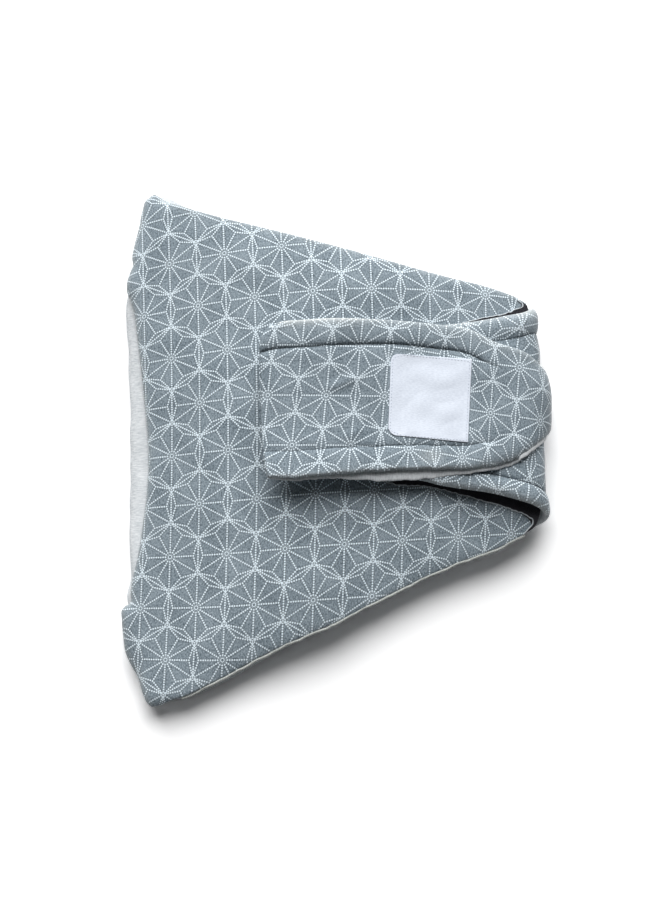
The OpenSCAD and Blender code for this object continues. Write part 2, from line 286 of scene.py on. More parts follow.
def closed_piece(name, top, bottom, top_uv, bottom_uv, materials, **marks):
    """Closed piece from an outer and an inner grid. Where the two grids' borders differ, a rim joins them."""
    rows, columns = top.shape[:2]
    count = rows * columns
    points = np.concatenate([top.reshape(-1, 3), bottom.reshape(-1, 3)])
    uv_of = np.concatenate([top_uv.reshape(-1, 2), bottom_uv.reshape(-1, 2)])
    faces = [grid_faces(rows, columns), grid_faces(rows, columns, count)[:, ::-1]]
    slots = [np.zeros(len(faces[0])), np.full(len(faces[1]), len(materials) - 1)]
    ring = border(rows, columns)
    joined = np.arange(2 * count)
    if np.abs(points[ring] - points[ring + count]).max() < 1e-6:
        joined[ring + count] = ring
    else:
        after = np.roll(ring, -1)
        faces.append(np.stack([ring, ring + count, after + count, after], axis=-1))
        slots.append(np.zeros(len(ring)))
    faces = np.concatenate(faces)
    used, shared = np.unique(joined[faces], return_inverse=True)
    marks = {mark: np.tile(values.ravel(), 2)[used] for mark, values in marks.items()}
    return new_piece(name, points[used], shared.reshape(-1, 4), uv_of[faces].reshape(-1, 2),
                     np.concatenate(slots), materials, marks)


def ring_faces(rings, sides, first=0):
    """Faces round a row of rings, with closed ends."""
    index = first + np.arange(rings * sides).reshape(rings, sides)
    after = np.roll(index, -1, axis=1)
    walls = np.stack([index[:-1], after[:-1], after[1:], index[1:]], axis=-1).reshape(-1, 4)
    return walls.tolist() + [index[0, ::-1].tolist(), index[-1].tolist()]


def tube(name, line, radius, material, sides=8):
    """Round cord along a line of points, with closed ends."""
    ahead = np.gradient(line, axis=0)
    ahead /= np.linalg.norm(ahead, axis=1)[:, None]
    across = np.cross(ahead, np.array([0.0, 0.0, 1.0]))
    across /= np.maximum(np.linalg.norm(across, axis=1), 1e-9)[:, None]
    above = np.cross(across, ahead)
    turn = np.linspace(0, 2 * math.pi, sides, endpoint=False)
    size = np.full(len(line), float(radius))
    size[[0, -1]] *= 0.3
    points = (line[:, None] + size[:, None, None] * (np.cos(turn)[None, :, None] * across[:, None]
              + np.sin(turn)[None, :, None] * above[:, None])).reshape(-1, 3)
    faces = ring_faces(len(line), sides)
    uv_of = np.stack([np.repeat(run(line), sides), np.tile(turn * radius, len(line))], axis=1)
    corner_uv = np.concatenate([uv_of[face] for face in faces])
    return new_piece(name, points, faces, corner_uv, np.zeros(len(faces)), [material])


def stitch_row(name, line, normals, pitch, long, material, radius=0.22, sides=6, rings=5):
    """Separate stitches along a line: short bent bars that dip into the cloth at both ends."""
    along = run(line)
    turn = np.linspace(0, 2 * math.pi, sides, endpoint=False)
    dip = np.sin(np.linspace(0, math.pi, rings))
    thick = radius * (0.55 + 0.45 * dip)
    points, faces = [], []
    for start in np.arange(pitch / 2, along[-1] - long, pitch):
        at = np.linspace(start, start + long, rings)
        out = between(at, along, normals)
        middle = between(at, along, line) + out * (radius * (1.6 * dip - 0.9))[:, None]
        ahead = middle[-1] - middle[0]
        ahead /= np.linalg.norm(ahead)
        across = np.cross(ahead, out)
        across /= np.linalg.norm(across, axis=1)[:, None]
        faces += ring_faces(rings, sides, len(points) * sides)
        for k in range(rings):
            ring = np.cos(turn)[:, None] * across[k] + np.sin(turn)[:, None] * out[k]
            points.append(middle[k] + thick[k] * ring)
    points = np.concatenate(points)
    corner_uv = np.concatenate([points[face][:, :2] for face in faces])
    return new_piece(name, points, faces, corner_uv, np.zeros(len(faces)), [material])


# Materials

SHEEN_ROUGH = 0.35
WALE = 0.0011
COURSE = 0.0009
GROUND_DARK = (80, 94, 103)
GROUND_LIGHT = (164, 177, 186)
DOTS = (234, 247, 255)
# Pale colour of worn fuzz, also laid on as painted sheen and highlight
FLUFF_AND_SHEEN = (222, 225, 223)
# Painted shade: dark colour laid in the stitched grooves and over the tab's middle
PAINTED_SHADE_COLOUR = (34, 41, 47)
LABEL_DARK = (204, 211, 223)
LABEL_LIGHT = (217, 224, 235)


def linear(colour):
    """Linear RGBA from display levels of 0 to 255."""
    c = np.asarray(colour, float) / 255
    return tuple(np.where(c <= 0.04045, c / 12.92, ((c + 0.055) / 1.055)**2.4)) + (1.0,)


class Look:
    """A material with helpers for its nodes."""

    def __init__(self, name, roughness, sheen, specular=0.25):
        self.material = bpy.data.materials.new(name)
        self.material.use_nodes = True
        self.tree = self.material.node_tree
        self.shader = self.tree.nodes["Principled BSDF"]
        self.feed(self.shader, {"Roughness": roughness, "Specular IOR Level": specular, "Sheen Weight": sheen,
                                "Sheen Roughness": SHEEN_ROUGH})
        self.uv = self.node("UVMap", uv_map="cloth")["UV"]

    def feed(self, node, values):
        """Sets or links inputs of a node, by name or number."""
        for key, value in values.items():
            if isinstance(value, bpy.types.NodeSocket):
                self.tree.links.new(value, node.inputs[key])
            else:
                node.inputs[key].default_value = value

    def node(self, kind, values=None, **settings):
        """Outputs of a new node."""
        node = self.tree.nodes.new("ShaderNode" + kind)
        for key, value in settings.items():
            setattr(node, key, value)
        self.feed(node, values or {})
        return node.outputs

    def math(self, operation, *values):
        return self.node("Math", dict(enumerate(values)), operation=operation)[0]

    def vector(self, operation, *values, output="Vector"):
        return self.node("VectorMath", dict(enumerate(values)), operation=operation)[output]

    def length(self, vector):
        return self.vector("LENGTH", vector, output="Value")

    def dot(self, first, second):
        return self.vector("DOT_PRODUCT", first, second, output="Value")

    def scaled(self, x, y):
        return self.vector("MULTIPLY", self.uv, (x, y, 1.0))

    def split(self):
        return self.node("SeparateXYZ", {0: self.uv})[:2]

    def mark(self, name):
        return self.node("Attribute", attribute_name=name)["Fac"]

    def noise(self, vector, scale, detail=2.0, roughness=0.5):
        values = {"Vector": vector, "Scale": scale, "Detail": detail, "Roughness": roughness}
        return self.node("TexNoise", values, noise_dimensions="2D")["Fac"]

    def remap(self, value, low, high, to_low=0.0, to_high=1.0, curve="LINEAR"):
        values = dict(enumerate((value, low, high, to_low, to_high)))
        return self.node("MapRange", values, interpolation_type=curve)[0]

    def mix(self, share, first, second, blend="MIX"):
        return self.node("Mix", {"Factor": share, 6: first, 7: second}, data_type="RGBA", blend_type=blend)[2]

    def weighted(self, first, share, second, rest):
        return self.math("MULTIPLY_ADD", first, share, self.math("MULTIPLY", second, rest))

    def tone(self, value, dark, light, low=0.3, high=0.7):
        return self.mix(self.remap(value, low, high), linear(dark), linear(light))

    def finish(self, colour, height, distance, strength):
        """The material with this colour and a bump of this height."""
        bump = self.node("Bump", {"Strength": strength, "Distance": distance, "Height": height})[0]
        self.feed(self.shader, {"Base Color": colour, "Normal": bump})
        return self.material


def knit_height(cloth):
    """Height of a fine jersey knit: columns of small slanted loops."""
    x, y = cloth.split()
    column = cloth.math("DIVIDE", cloth.math("PINGPONG", x, WALE / 2), WALE / 2)
    slant = cloth.math("ADD", y, cloth.math("MULTIPLY", column, COURSE * 0.6))
    loop = cloth.math("DIVIDE", cloth.math("PINGPONG", slant, COURSE / 2), COURSE / 2)
    fuzz = cloth.noise(cloth.uv, 2200.0, 2.0, 0.6)
    return cloth.weighted(cloth.weighted(column, 0.6, loop, 0.4), 0.45, fuzz, 0.75)


def star_distance(cloth):
    """Distance in star sides from the nearest printed dot of the hemp-leaf lattice."""
    root3 = math.sqrt(3)
    half = (root3 / 2, 1.5, 1.0)
    back = (-root3 / 2, -1.5, -1.0)
    level = (1.0, 1.0, 0.0)
    place = cloth.scaled(1 / (STAR_SIDE * MM), 1 / (STAR_SIDE * MM))
    first, second = [cloth.vector("MULTIPLY", cloth.vector("WRAP", start, half, back), level)
                     for start in (place, cloth.vector("ADD", place, half))]
    nearer = cloth.math("LESS_THAN", cloth.length(second), cloth.length(first))
    chosen = cloth.node("Mix", {"Factor": nearer, 4: first, 5: second}, data_type="VECTOR")[1]
    folded = cloth.vector("ABSOLUTE", chosen)
    mirror = (-0.5, root3 / 2, 0.0)
    over = cloth.math("MAXIMUM", cloth.dot(folded, mirror), 0.0)
    across_mirror = cloth.vector("MULTIPLY", mirror, cloth.math("MULTIPLY", over, 2.0))
    folded = cloth.vector("ABSOLUTE", cloth.vector("SUBTRACT", folded, across_mirror))
    star, knee, side, tip = (0.0, 0.0), (0.72, 0.0), (root3 / 2, 0.0), (root3 / 2, 0.5)
    best = None
    # Each row of dots: its two ends, the printed share of it, and a shift of its dots
    for start, end, share, shift in ((star, tip, 1.0, 0.0), (star, knee, 1.0, 0.0), (knee, tip, 0.89, 0.0),
                                     (side, tip, 0.93, 0.5)):
        length = math.hypot(end[0] - start[0], end[1] - start[1])
        ahead = ((end[0] - start[0]) / length, (end[1] - start[1]) / length, 0.0)
        off = cloth.vector("SUBTRACT", folded, (*start, 0.0))
        along = cloth.dot(off, ahead)
        across = cloth.dot(off, (-ahead[1], ahead[0], 0.0))
        pitch = length / round(length / DOT_PITCH)
        step = cloth.math("WRAP", cloth.math("ADD", along, shift * pitch), pitch / 2, -pitch / 2)
        square = cloth.math("MULTIPLY_ADD", step, step, cloth.math("MULTIPLY", across, across))
        half_row = length * share / 2
        beyond = cloth.math("ABSOLUTE", cloth.math("SUBTRACT", along, half_row))
        beyond = cloth.math("MAXIMUM", cloth.math("SUBTRACT", beyond, half_row), 0.0)
        gap = cloth.math("MULTIPLY_ADD", beyond, 10.0, cloth.math("SQRT", square))
        best = gap if best is None else cloth.math("MINIMUM", best, gap)
    from_star = cloth.length(folded)
    best = cloth.math("ADD", best, cloth.math("LESS_THAN", from_star, RAY_START))
    ring = cloth.math("ABSOLUTE", cloth.math("SUBTRACT", from_star, STAR_RING))
    best = cloth.math("MINIMUM", best, cloth.math("ADD", ring, RING_FINE))
    from_knot = cloth.length(cloth.vector("SUBTRACT", folded, (*tip, 0.0)))
    return cloth.math("ADD", best, cloth.remap(from_knot, 0.0, KNOT_REACH, KNOT_FINE, 0.0))


def print_cloth():
    """Heathered jersey with the printed lattice, worn edges with painted sheen, and painted shade in the
    seams.
    """
    cloth = Look("print_jersey", 0.88, 0.35)
    heather = cloth.noise(cloth.scaled(1.0, 0.7), 1150.0, 3.0, 0.8)
    shade = cloth.weighted(heather, 0.85, cloth.noise(cloth.uv, 60.0, 3.0), 0.15)
    ground = cloth.tone(shade, GROUND_DARK, GROUND_LIGHT, 0.35, 0.65)
    worn = cloth.remap(cloth.noise(cloth.uv, 900.0, 1.0), 0.25, 0.6, 0.78, 1.0)
    gap = star_distance(cloth)
    ink = cloth.math("MULTIPLY", cloth.remap(gap, 0.018, 0.033, 1.0, 0.0, "SMOOTHSTEP"), worn)
    pressed = cloth.remap(gap, 0.03, 0.08, 0.77, 1.0, "SMOOTHSTEP")
    ground = cloth.mix(1.0, ground, pressed, "MULTIPLY")
    printed = cloth.mix(ink, ground, linear(DOTS))
    # Painted shade in the seam grooves and over the tab's middle
    printed = cloth.mix(cloth.mark("crease"), printed, linear(PAINTED_SHADE_COLOUR))
    # Pale worn fuzz together with painted sheen and highlights on edges and at the turn
    patchy = cloth.remap(cloth.noise(cloth.uv, 1400.0, 2.0), 0.2, 0.7, 0.4, 1.0)
    fluff_and_sheen = cloth.math("MULTIPLY", cloth.mark("rubbed"), patchy)
    height = cloth.math("MULTIPLY_ADD", ink, 0.35, knit_height(cloth))
    return cloth.finish(cloth.mix(fluff_and_sheen, printed, linear(FLUFF_AND_SHEEN)), height, 0.00025, 0.55)


def lining_cloth(name, dark, light):
    """Melange jersey with fine streaks."""
    cloth = Look(name, 0.92, 0.15)
    streak = cloth.noise(cloth.scaled(1.0, 0.22), 1300.0, 3.0, 0.7)
    shade = cloth.weighted(streak, 0.8, cloth.noise(cloth.uv, 120.0, 2.0), 0.2)
    return cloth.finish(cloth.tone(shade, dark, light), knit_height(cloth), 0.0003, 0.6)


def pile_tape(name, scale, dark, light, distance):
    """Fastener tape: loops or hooks as a fine rough pile."""
    cloth = Look(name, 0.75, 0.25)
    cells = cloth.node("TexVoronoi", {"Vector": cloth.uv, "Scale": scale}, voronoi_dimensions="2D")
    fuzz = cloth.noise(cloth.uv, scale * 1.7, 2.0, 0.7)
    height = cloth.math("MULTIPLY_ADD", cells["Distance"], -0.7, fuzz)
    return cloth.finish(cloth.tone(fuzz, dark, light), height, distance, 0.8)


def label_cloth():
    """Satin with fine ribs."""
    cloth = Look("satin_label", 0.5, 0.1, 0.4)
    rib = cloth.math("PINGPONG", cloth.split()[1], 0.0003)
    fuzz = cloth.noise(cloth.scaled(0.3, 1.0), 1800.0, 2.0)
    height = cloth.math("MULTIPLY_ADD", rib, 1500.0, fuzz)
    return cloth.finish(cloth.tone(fuzz, LABEL_DARK, LABEL_LIGHT), height, 0.0001, 0.35)


def thread_cloth(name, dark, light):
    """Twisted thread."""
    cloth = Look(name, 0.7, 0.2)
    twist = cloth.noise(cloth.scaled(1.0, 0.4), 2500.0, 2.0)
    return cloth.finish(cloth.tone(twist, dark, light), twist, 0.0001, 0.6)


PRINT = print_cloth()
LINING = lining_cloth("melange_lining", (194, 200, 204), (241, 244, 246))
# A darker copy of the lining: painted shade on the undersides of the halves and the wing
LINING_PAINTED_SHADE = lining_cloth("lining_painted_shade", (172, 178, 182), (220, 224, 227))
LOOPS = pile_tape("loop_tape", 1400.0, (30, 30, 34), (64, 64, 70), 0.0005)
HOOKS = pile_tape("hook_tape", 800.0, (18, 18, 20), (46, 46, 50), 0.0006)
LABEL = label_cloth()
EDGE_TAPE = thread_cloth("edge_tape", (136, 141, 139), (204, 207, 203))
PALE_THREAD = thread_cloth("pale_thread", (168, 177, 183), (216, 222, 226))
SEAM_THREAD = thread_cloth("seam_thread", (54, 63, 70), (88, 99, 107))
WHITE_THREAD = thread_cloth("white_thread", (190, 198, 211), (212, 219, 230))


# Outlines of the two halves, the loop panel's notch and the lining at the fold, as places

FOLD_SIDE = [(151.8, 707), (147.8, 704), (144, 697), (137.6, 677), (131, 665), (126, 654), (123, 635),
             (121.7, 619), (121.9, 610), (125, 606.5), (129.8, 604), (130.5, 592), (132, 580), (136, 564),
             (141, 536), (148, 470), (143, 390), (137, 338), (133.4, 311), (130.6, 301), (127.5, 294),
             (127, 284), (130.4, 272), (133.2, 265), (132.3, 260), (135, 243), (138.7, 229), (142.3, 211),
             (146, 200.6), (151, 196.5)]
FRONT_TOP = [(151, 196.5), (154.5, 195.1), (163.6, 200.4), (177, 205), (198, 211), (253, 225), (340, 247),
             (444, 276), (497, 290), (519, 299), (526, 303.5)]
FRONT_BOTTOM = [(151.8, 707), (159, 705.4), (167, 702), (186, 695.4), (209, 684.5), (268, 653), (340, 620),
                (396, 591), (452, 565), (508, 543), (524, 534)]
FRONT_END = [(524, 534), (534, 527), (539.5, 514), (537, 480), (533, 400), (530, 340), (529, 314),
             (526, 303.5)]
NOTCH = [(523, 533), (530, 526), (534, 519), (529, 515), (517, 510), (479, 498.5), (430, 486.4), (384, 479),
         (369, 455), (368, 400), (388, 350), (425, 330), (456, 324), (480, 317.6), (505, 312.4),
         (516.7, 307.9), (523.5, 303.6), (520.8, 300.3), (517.2, 298)]
BACK_TOP = [(152, 199), (156, 198), (198, 213), (253, 227), (340, 249), (444, 278), (484, 289)]
BACK_BOTTOM = [(154, 704), (170, 701), (186, 698), (209, 689), (235, 676), (268, 657), (300, 640), (340, 621),
               (396, 592), (452, 566), (484, 553)]
BACK_END = [(484, 553), (489, 500), (489, 420), (489, 340), (484, 289)]
CRESCENT = [(140, 262), (130, 288), (126, 306), (128, 341), (130, 402), (130, 484), (129, 545), (130, 576),
            (127, 596), (130, 612), (142, 640)]
TIP_LEVEL = 16
TIP = spot(FRONT_BOTTOM[:1], TIP_LEVEL)[0]


def tip_drop(plan):
    """How far the lower end of the fold lies below the rest of the front half."""
    x, y = plan[..., 0] - TIP[0], plan[..., 1] - TIP[1]
    return TIP_DROOP * (1 - ease(x, *TIP_X)) * (1 - ease(y, *TIP_Y))


class Pad:
    """One padded half: an outline, a middle height, and the heights of its two faces over any plan point."""

    def __init__(self, bottom, top, left, right, middle, droop, lip):
        self.middle, self.droop, self.lip = middle, droop, lip
        self.bottom, self.top, self.right = [smooth_line(self.placed(side)) for side in (bottom, top, right)]
        self.close(self.placed(left[1:-1]))
        self.waves = rng.integers(1, 1 << 30)

    def close(self, fold):
        """Runs the fold's edge through these points and joins the outline."""
        self.left = smooth_line(np.concatenate([self.bottom[:1], fold, self.top[:1]]))
        self.long_edges = np.concatenate([self.bottom, self.right[1:], self.top[::-1][1:]])
        self.outline = np.concatenate([self.long_edges, self.left[::-1][1:]])

    def placed(self, places):
        """Plan points of the outline that is seen at these places."""
        plan = spot(places, self.middle)
        return spot(places, self.sunk(plan, 1.0) + HALF_THICK * self.edge_lip(plan)[0])

    def edge_lip(self, plan):
        """How far up the edge lies, as a share of the padding, and the width of its rounding."""
        away = ease(plan[..., 0] - TIP[0], *FOLD_EDGE)
        return self.lip * (FOLD_LIP + (1 - FOLD_LIP) * away), FOLD_ROLL + (LIP_ROLL - FOLD_ROLL) * away

    def sunk(self, plan, share):
        """Height of the middle surface with a share of the droop of the long edges."""
        if self.droop == 0:
            return self.middle - BACK_TIP * tip_drop(plan)
        x, y = plan[..., 0], plan[..., 1]
        pressed = END_SINK * ease(x, *SINK_X) * (1 - ease(y, *SINK_Y))
        return self.middle - tip_drop(plan) - pressed - self.droop * ease(x - TIP[0], *DROOP_X) * share

    def grid(self, columns, rows):
        return patch(self.bottom, self.top, self.left, self.right, *share_grid(columns, rows, 0.45))

    def faces(self, plan):
        """Heights of the upper and the lower face."""
        far, _ = nearest(plan, self.outline)
        lip, roll = self.edge_lip(plan)
        seam = self.level(plan) + HALF_THICK * lip
        crown = CROWN * (1 - np.exp(-far / CROWN_REACH))
        upper = seam + HALF_THICK * (1 - lip) * round_edge(far, roll) + crown
        lower = np.maximum(seam - HALF_THICK * (1 + lip) * round_edge(far, EDGE_ROLL), FLOOR_GAP)
        return upper + self.uneven(plan, far), lower

    def level(self, plan):
        """Height of the middle surface, with the droop of its long edges."""
        far, _ = nearest(plan, self.long_edges)
        return self.sunk(plan, (1 - np.minimum(far / DROOP_REACH, 1))**2)

    def unrolled(self, plan):
        """The plan point that the upper cloth would have if its edges were flat."""
        far, foot = nearest(plan, self.outline)
        inward = (plan - foot) / np.maximum(far, 1e-6)[..., None]
        at_fold = 1 - ease(plan[..., 0] - TIP[0], *FOLD_EDGE)
        extra = np.zeros_like(far)
        for share, roll, height in ((at_fold, FOLD_ROLL, HALF_THICK * (1 - self.lip * FOLD_LIP)),
                                    (1 - at_fold, LIP_ROLL, HALF_THICK * (1 - self.lip))):
            t = np.linspace(0, roll, 60)
            arc = run(np.stack([t, height * round_edge(t, roll)], axis=1))
            near = np.minimum(far, roll)
            extra += share * ((arc[-1] - roll) - (np.interp(near, t, arc) - near))
        return plan - inward * extra[..., None]

    def uneven(self, plan, far):
        """The same large and small humps for every call."""
        x, y = plan[..., 0], plan[..., 1]
        draws = np.random.default_rng(self.waves)
        return (0.35 * ripple(x, y, 85, draws) + 0.16 * ripple(x, y, 32, draws)) * ease(far, 0, 9)


def front_lay(flat):
    """Place in the star lattice of a point on the front half.

    The jersey is stretched unevenly: this is a cubic, fitted to where the print is seen in the picture.
    """
    place = seen_at(lift(flat, np.full(flat.shape[:-1], LAY_HEIGHT)))
    x = (place[..., 0] - LAY_MIDDLE[0]) * LAY_SCALE
    sag = LAY_SAG * (1 - ease(place[..., 0], *LAY_LEFT)) * ease(place[..., 1], *LAY_LOW)
    y = (LAY_MIDDLE[1] - place[..., 1] - sag) * LAY_SCALE
    along = 116.6 + 97.9 * x + 1.3 * x**2 + 2.0 * y**2 - 1.1 * x**2 * y + 3.1 * x**3
    up = -126.6 - 6.3 * x + 96.9 * y + 3.2 * x**2 + 1.4 * x * y + 2.4 * y**2 + 5.9 * x**2 * y + ROW
    return np.stack([along, up], axis=-1)


# Front half

HALVES_GAP = 0.2
# Pale worn fuzz and painted sheen along the front half's top and fold edges
EDGE_WEAR_AND_SHEEN = 0.38
WEAR_AND_SHEEN_REACH = 1.5
SLOPE_STEP = 0.25
BACK_FOLD_SHIFT = [1.5, 0]

back = Pad(BACK_BOTTOM, BACK_TOP, FOLD_SIDE, BACK_END, BACK_MIDDLE, 0, 0)
back.close(back.placed(FOLD_SIDE[1:-1]) + BACK_FOLD_SHIFT)
front = Pad(FRONT_BOTTOM, FRONT_TOP, FOLD_SIDE, FRONT_END, FRONT_MIDDLE, DROOP, LIP)
plan = front.grid(190, 210)
upper, lower = front.faces(plan)
lower = np.minimum(np.maximum(lower, back.faces(plan)[0] + HALVES_GAP), upper)
flat = front.unrolled(plan)
# Worn fuzz with painted sheen along the top and fold edges of the print
far_from_pale_edges, _ = nearest(plan, np.concatenate([front.top[::-1], front.left[::-1]]))
front_piece = closed_piece("front_half_pad", lift(plan, upper), lift(plan, lower), front_lay(flat), flat,
                           [PRINT, LINING_PAINTED_SHADE], rubbed=EDGE_WEAR_AND_SHEEN * np.exp(-far_from_pale_edges / WEAR_AND_SHEEN_REACH))
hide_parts("front_cover", "front_padding", "front_lining")
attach(front_piece, "front_half")


def front_surface(plan, above):
    """Points over the front half's printed face, moved out along its normal."""
    def slope(step):
        return (front.faces(plan + step)[0] - front.faces(plan - step)[0]) / (2 * SLOPE_STEP)
    z = front.faces(plan)[0]
    normal = np.stack([-slope([SLOPE_STEP, 0]), -slope([0, SLOPE_STEP]), np.ones_like(z)], axis=-1)
    normal /= np.linalg.norm(normal, axis=-1)[..., None]
    return lift(plan, z) + normal * np.asarray(above)[..., None]


# Loop panel in the notch, and its pale edging

NOTCH_LEVEL = 28
PANEL_INSET = 0.001
PANEL_TOP = 0.75
PANEL_UNDER = 0.1
EDGING_RADIUS = 0.4
EDGING_ABOVE = 0.6
EDGING_FRAY = 0.22

notch = smooth_line(spot(NOTCH, NOTCH_LEVEL))
panel_end = front.right + (front.left[EDGE_STEPS // 2] - front.right) * PANEL_INSET
panel_end = even_steps(np.concatenate([notch[:1], panel_end[3:-3], notch[-1:]]))
point_low, point_high = [np.repeat(notch[k][None], EDGE_STEPS, axis=0) for k in (0, -1)]
u, v = np.meshgrid(shares(60, 0.5), shares(150, 0.3), indexing="ij")
panel_plan = patch(point_low, point_high, notch, panel_end, u, v)
loop_piece = closed_piece("loop_panel_sheet", front_surface(panel_plan, PANEL_TOP),
                          front_surface(panel_plan, PANEL_UNDER), panel_plan, panel_plan, [LOOPS])
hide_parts("loop_panel")
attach(loop_piece, "front_half")

along = np.arange(len(notch)) * np.linalg.norm(notch[1] - notch[0])
frayed = np.stack([line_ripple(along, 5.0), line_ripple(along, 4.0)], axis=1)
edging_line = front_surface(notch + EDGING_FRAY * frayed, EDGING_ABOVE + 0.12 * line_ripple(along, 3.0))
edging_piece = tube("loop_edging_line", edging_line, EDGING_RADIUS, PALE_THREAD)
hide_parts("loop_edging")
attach(edging_piece, "front_half")

# Pale turned edge of the lining, which shows along the lower edge

SEAM_RADIUS = 0.8
seam = front.bottom[30:]
ahead = np.gradient(seam, axis=0)
aside = np.stack([ahead[:, 1], -ahead[:, 0]], axis=1)
aside /= np.linalg.norm(aside, axis=1)[:, None]
along = np.arange(len(seam)) * np.linalg.norm(seam[1] - seam[0])
wander = 0.75 + 0.3 * line_ripple(along, 14) + 0.12 * line_ripple(along, 5)
tucked = 0.4 + 1.2 * (1 - ease(along, 0, 25))
seam_line = lift(seam + aside * wander[:, None], front.faces(seam)[0] - tucked)
seam_piece = tube("front_lining_edge", seam_line, SEAM_RADIUS, EDGE_TAPE)
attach(seam_piece, "front_half")

# Back half

BACK_LAY = [9, 4]
plan = back.grid(170, 200)
upper, lower = back.faces(plan)
upper = np.minimum(upper, 2 * BACK_MIDDLE - BACK_TIP * tip_drop(plan))
flat = back.unrolled(plan)
back_piece = closed_piece("back_half_pad", lift(plan, upper), lift(plan, lower), flat,
                          front_lay(flat) * [1, -1] + BACK_LAY, [LINING_PAINTED_SHADE, PRINT])
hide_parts("back_cover", "back_padding", "back_lining")
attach(back_piece, "back_half")

# Lining at the fold: one cloth that bulges out of the bay between the two halves

FOLD_MIDDLE = 14.3
FOLD_HALF = 7.0
FOLD_WIDE = 36
FOLD_DEEP = 9.0
FOLD_CLOTH = 0.9
FOLD_TURN = math.radians(96)
crescent = smooth_line(spot(CRESCENT, FOLD_MIDDLE))[::-1]
across = np.linspace(-1.0, 1.0, 41)
inside = np.interp(crescent[:, 1], front.left[:, 1], front.left[:, 0]) + FOLD_DEEP
cosine, sine = np.cos(across * FOLD_TURN)[None], np.sin(across * FOLD_TURN)[None]
bulge = inside[:, None] - (inside - crescent[:, 0])[:, None] * cosine
fold_y = np.repeat(crescent[:, 1][:, None], len(across), axis=1)
fold_share = BACK_TIP + (1 - BACK_TIP) * (1 + sine) / 2
fold_z = FOLD_MIDDLE + FOLD_HALF * sine - fold_share * tip_drop(np.stack([bulge, fold_y], axis=-1))
bulge = bulge + 0.25 * ripple(fold_y, fold_z * 3, 22)
outer = np.stack([bulge, fold_y, fold_z], axis=-1)[::3]
inner = np.stack([bulge + FOLD_CLOTH * cosine, fold_y, fold_z - FOLD_CLOTH * sine], axis=-1)[::3]
fold_uv = np.stack([fold_y, across[None] * FOLD_WIDE / 2 * np.ones_like(fold_y)], axis=-1)[::3]
fold_piece = closed_piece("fold_lining", outer, inner, fold_uv, fold_uv, [LINING])
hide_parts("front_fold_lining", "back_fold_lining")
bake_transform(fold_piece)


# Straps that turn round the narrow end

GROOVE = 1.5
GROOVE_WIDE = 0.4
STITCH_RISE = 0.3
STITCH_PITCH = 2.5
STITCH_LONG = 2.1
MIDDLE_DROP = 0.5


def turn_middle(y):
    return TURN_X + TURN_TILT * (TURN_Y - y)


def turn_path(radius_of, leg):
    """Line round the turn in X and Z, from its top, with the arc length along it and its outward normals."""
    angle = np.linspace(90, -90, 181)
    radius = radius_of(angle)
    x, z = radius * np.cos(np.radians(angle)), radius * np.sin(np.radians(angle))
    if leg > 0:
        x = np.r_[x, -np.linspace(0.5, leg, 40)]
        z = np.r_[z, np.full(40, z[-1])]
    along = run(np.stack([x, z], axis=1))
    tx, tz = np.gradient(x, along), np.gradient(z, along)
    size = np.hypot(tx, tz)
    return along, x, z, -tz / size, tx / size


def rolled(flat, out, path, level):
    """Points of a strap: flat gives the unrolled plan, out the height over the strap's middle surface."""
    along = path[0]
    middle = turn_middle(flat[..., 1])
    beyond = flat[..., 0] - middle
    px, pz, nx, nz = [np.interp(np.clip(beyond, 0, along[-1]), along, line) for line in path[1:]]
    x = np.where(beyond > 0, middle + px, flat[..., 0])
    z = np.where(beyond > 0, TURN_Z + pz, level)
    normal_x, normal_z = np.where(beyond > 0, nx, 0.0), np.where(beyond > 0, nz, 1.0)
    return np.stack([x + out * normal_x, flat[..., 1], z + out * normal_z], axis=-1)


def strap_shares(width, low, high):
    """Shares across a strap for each of its columns, with lines along both rim seams."""
    rim = np.r_[0, 0.02, 0.05, 0.1, 0.16, np.linspace(0.24, 0.76, 9), 0.84, 0.9, 0.94, 0.965, 0.985]
    beside = np.r_[0, 0.25, 0.5, 0.8, 1.2, 1.8, 2.8, 4.2]
    rows = []
    for whole, below, over in zip(width, low, high):
        across = np.linspace(below + 6, whole - over - 6, 45)
        middle = np.r_[below + beside, across, whole - over - beside[::-1]]
        rows.append(np.r_[rim * below, middle, whole - rim[::-1] * over] / whole)
    return np.array(rows)


class Strap:
    """A padded strap in its unrolled plan: four edges, and rims of given widths along the two long ones."""

    def __init__(self, lower, upper, left, right, columns, rims):
        self.edges = [smooth_line(line) for line in (lower, upper, left, right)]
        self.rims = rims
        along = shares(columns, 0.2)
        width, low, high = self.measures(along)
        v = strap_shares(width, low, high)
        self.flat = patch(*self.edges, np.repeat(along[:, None], v.shape[1], axis=1), v)
        self.x, self.y = self.flat[..., 0], self.flat[..., 1]
        self.from_low, self.from_high = v * width[:, None], (1 - v) * width[:, None]
        self.low, self.high = low[:, None], high[:, None]
        self.inward = np.minimum(self.from_low - self.low, self.from_high - self.high)
        self.from_free, _ = nearest(self.flat, self.edges[2])
        self.far = np.minimum.reduce([nearest(self.flat, edge)[0] for edge in self.edges])
        self.beyond = self.x - turn_middle(self.y)

    def measures(self, columns):
        """Width of the strap and of its two rims at shares along it."""
        low, high = on_line(self.edges[0], columns), on_line(self.edges[1], columns)
        return (np.linalg.norm(low - high, axis=1),) + self.rims((low[:, 0] + high[:, 0]) / 2)

    def seam_line(self, way, columns):
        width, low, high = self.measures(columns)
        return patch(*self.edges, columns, low / width if way < 0 else 1 - high / width)

    def above_low(self, flat):
        """How far points lie above the lower edge."""
        return flat[..., 1] - np.interp(flat[..., 0], self.edges[0][:, 0], self.edges[0][:, 1])


def either_side(strap, pair):
    """One of a pair of values, for the lower or for the upper half of a strap."""
    return np.where(strap.from_low - strap.low < strap.from_high - strap.high, pair[0], pair[1])


